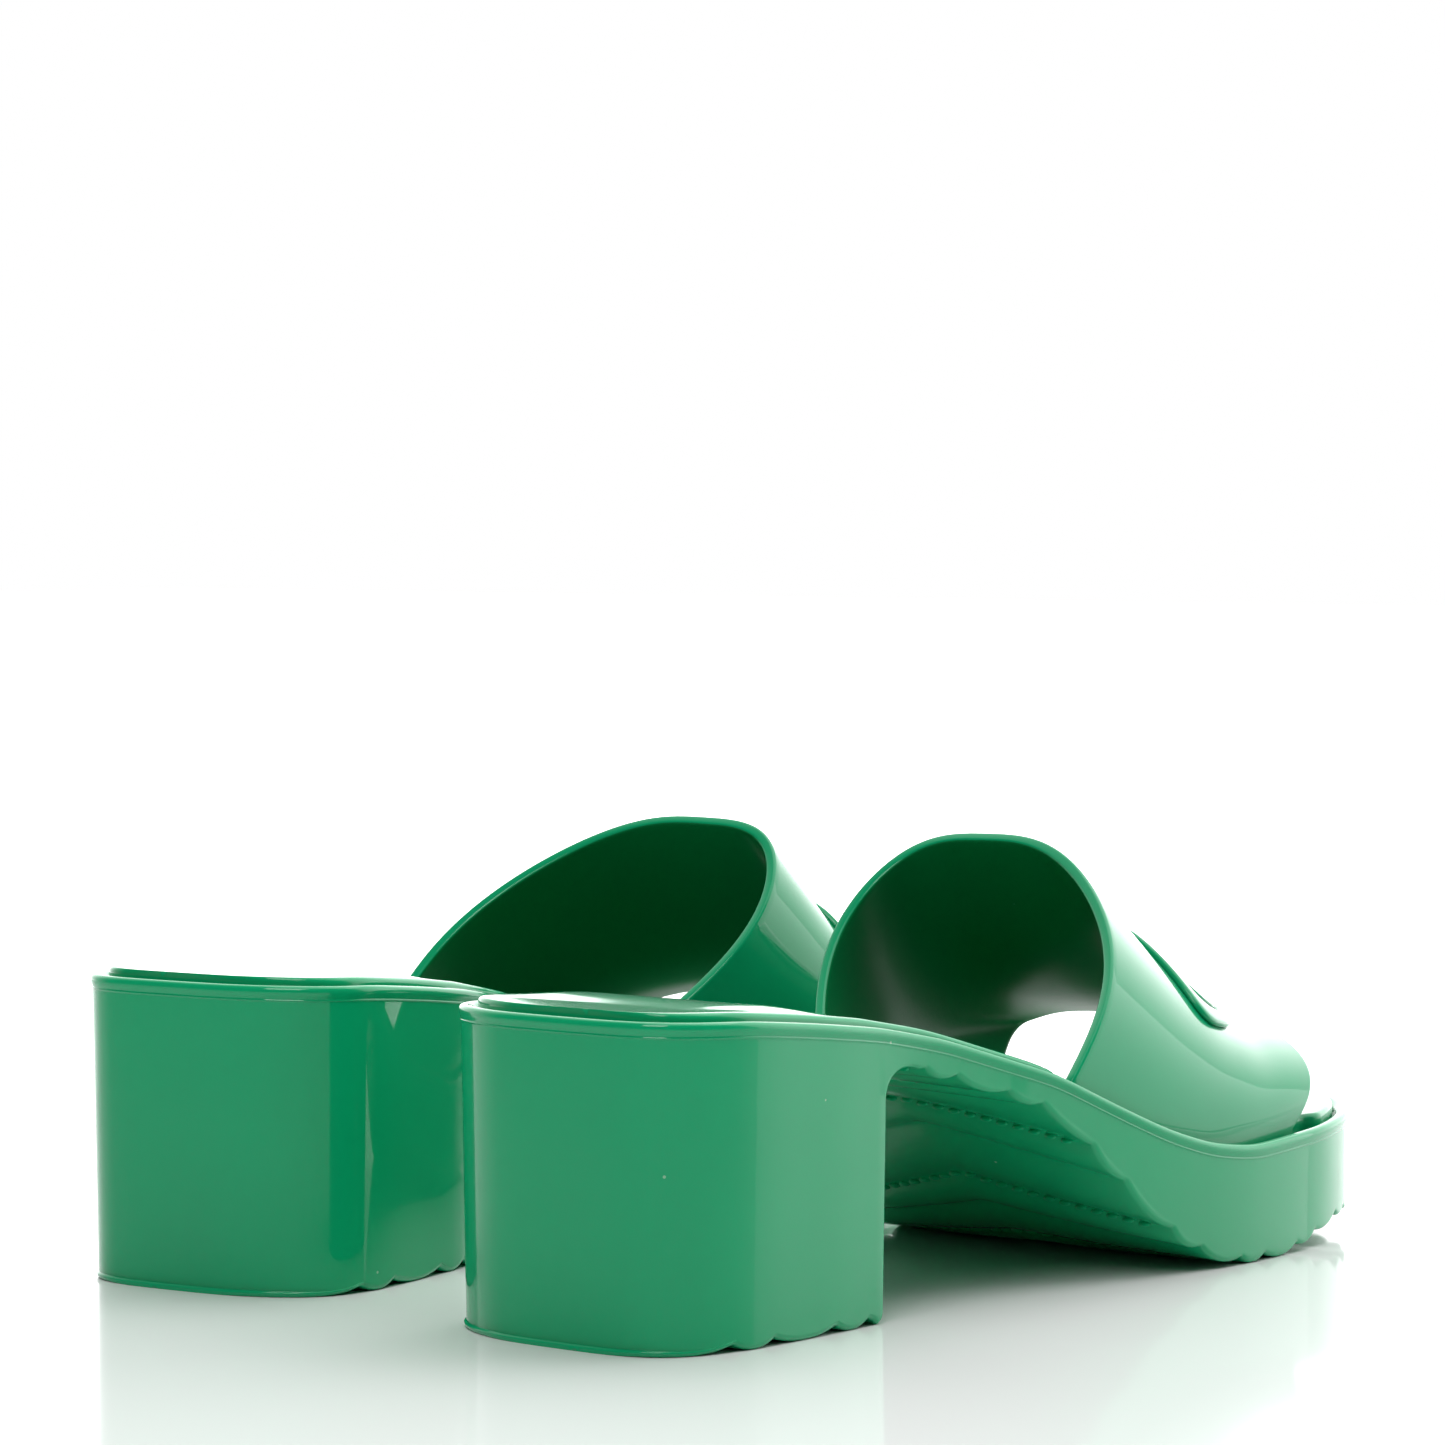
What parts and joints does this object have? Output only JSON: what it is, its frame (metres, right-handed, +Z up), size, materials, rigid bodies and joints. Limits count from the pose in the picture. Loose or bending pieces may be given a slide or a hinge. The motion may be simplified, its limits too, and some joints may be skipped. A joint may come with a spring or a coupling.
{
  "type": "pair of rubber platform slides",
  "caption": "Pair of moulded rubber slip-on slides with block heels, quilted platform soles, raised footbeds and one broad open-toed band on each shoe.",
  "frame": {"origin": "centre of the pair's bounding box in plan, on the ground that both shoes stand on", "axes": "+Y from the heels towards the toes along the right shoe, +X towards the wearer's right, +Z up"},
  "size_m": [0.2154, 0.2552, 0.088],
  "materials": {
    "sole_rubber": "glossy moulded rubber with a quilted tread",
    "footbed_rubber": "satin moulded rubber with a fine grain",
    "band_rubber": "high gloss outside, satin inside",
    "emblem_rubber": "glossy raised trim",
    "core_foam": "matt rigid foam, hidden inside the sole",
    "shank_steel": "bare spring steel, hidden inside the sole"
  },
  "bodies": {
    "right_shoe": {"right_sole_shell": "sole_rubber", "right_heel_core": "core_foam", "right_forefoot_filler": "core_foam", "right_shank": "shank_steel", "right_footbed": "footbed_rubber", "right_vamp_band": "band_rubber", "right_emblem_outer_ring": "emblem_rubber", "right_emblem_inner_ring": "emblem_rubber"},
    "left_shoe": {"left_sole_shell": "sole_rubber", "left_heel_core": "core_foam", "left_forefoot_filler": "core_foam", "left_shank": "shank_steel", "left_footbed": "footbed_rubber", "left_vamp_band": "band_rubber", "left_emblem_outer_ring": "emblem_rubber", "left_emblem_inner_ring": "emblem_rubber"}
  },
  "joints": [
    {"name": "left_shoe_lift", "type": "slide", "parent": "right_shoe", "child": "left_shoe", "axis": [0, 0, 1], "range_m": [0, 0.15]}
  ]
}
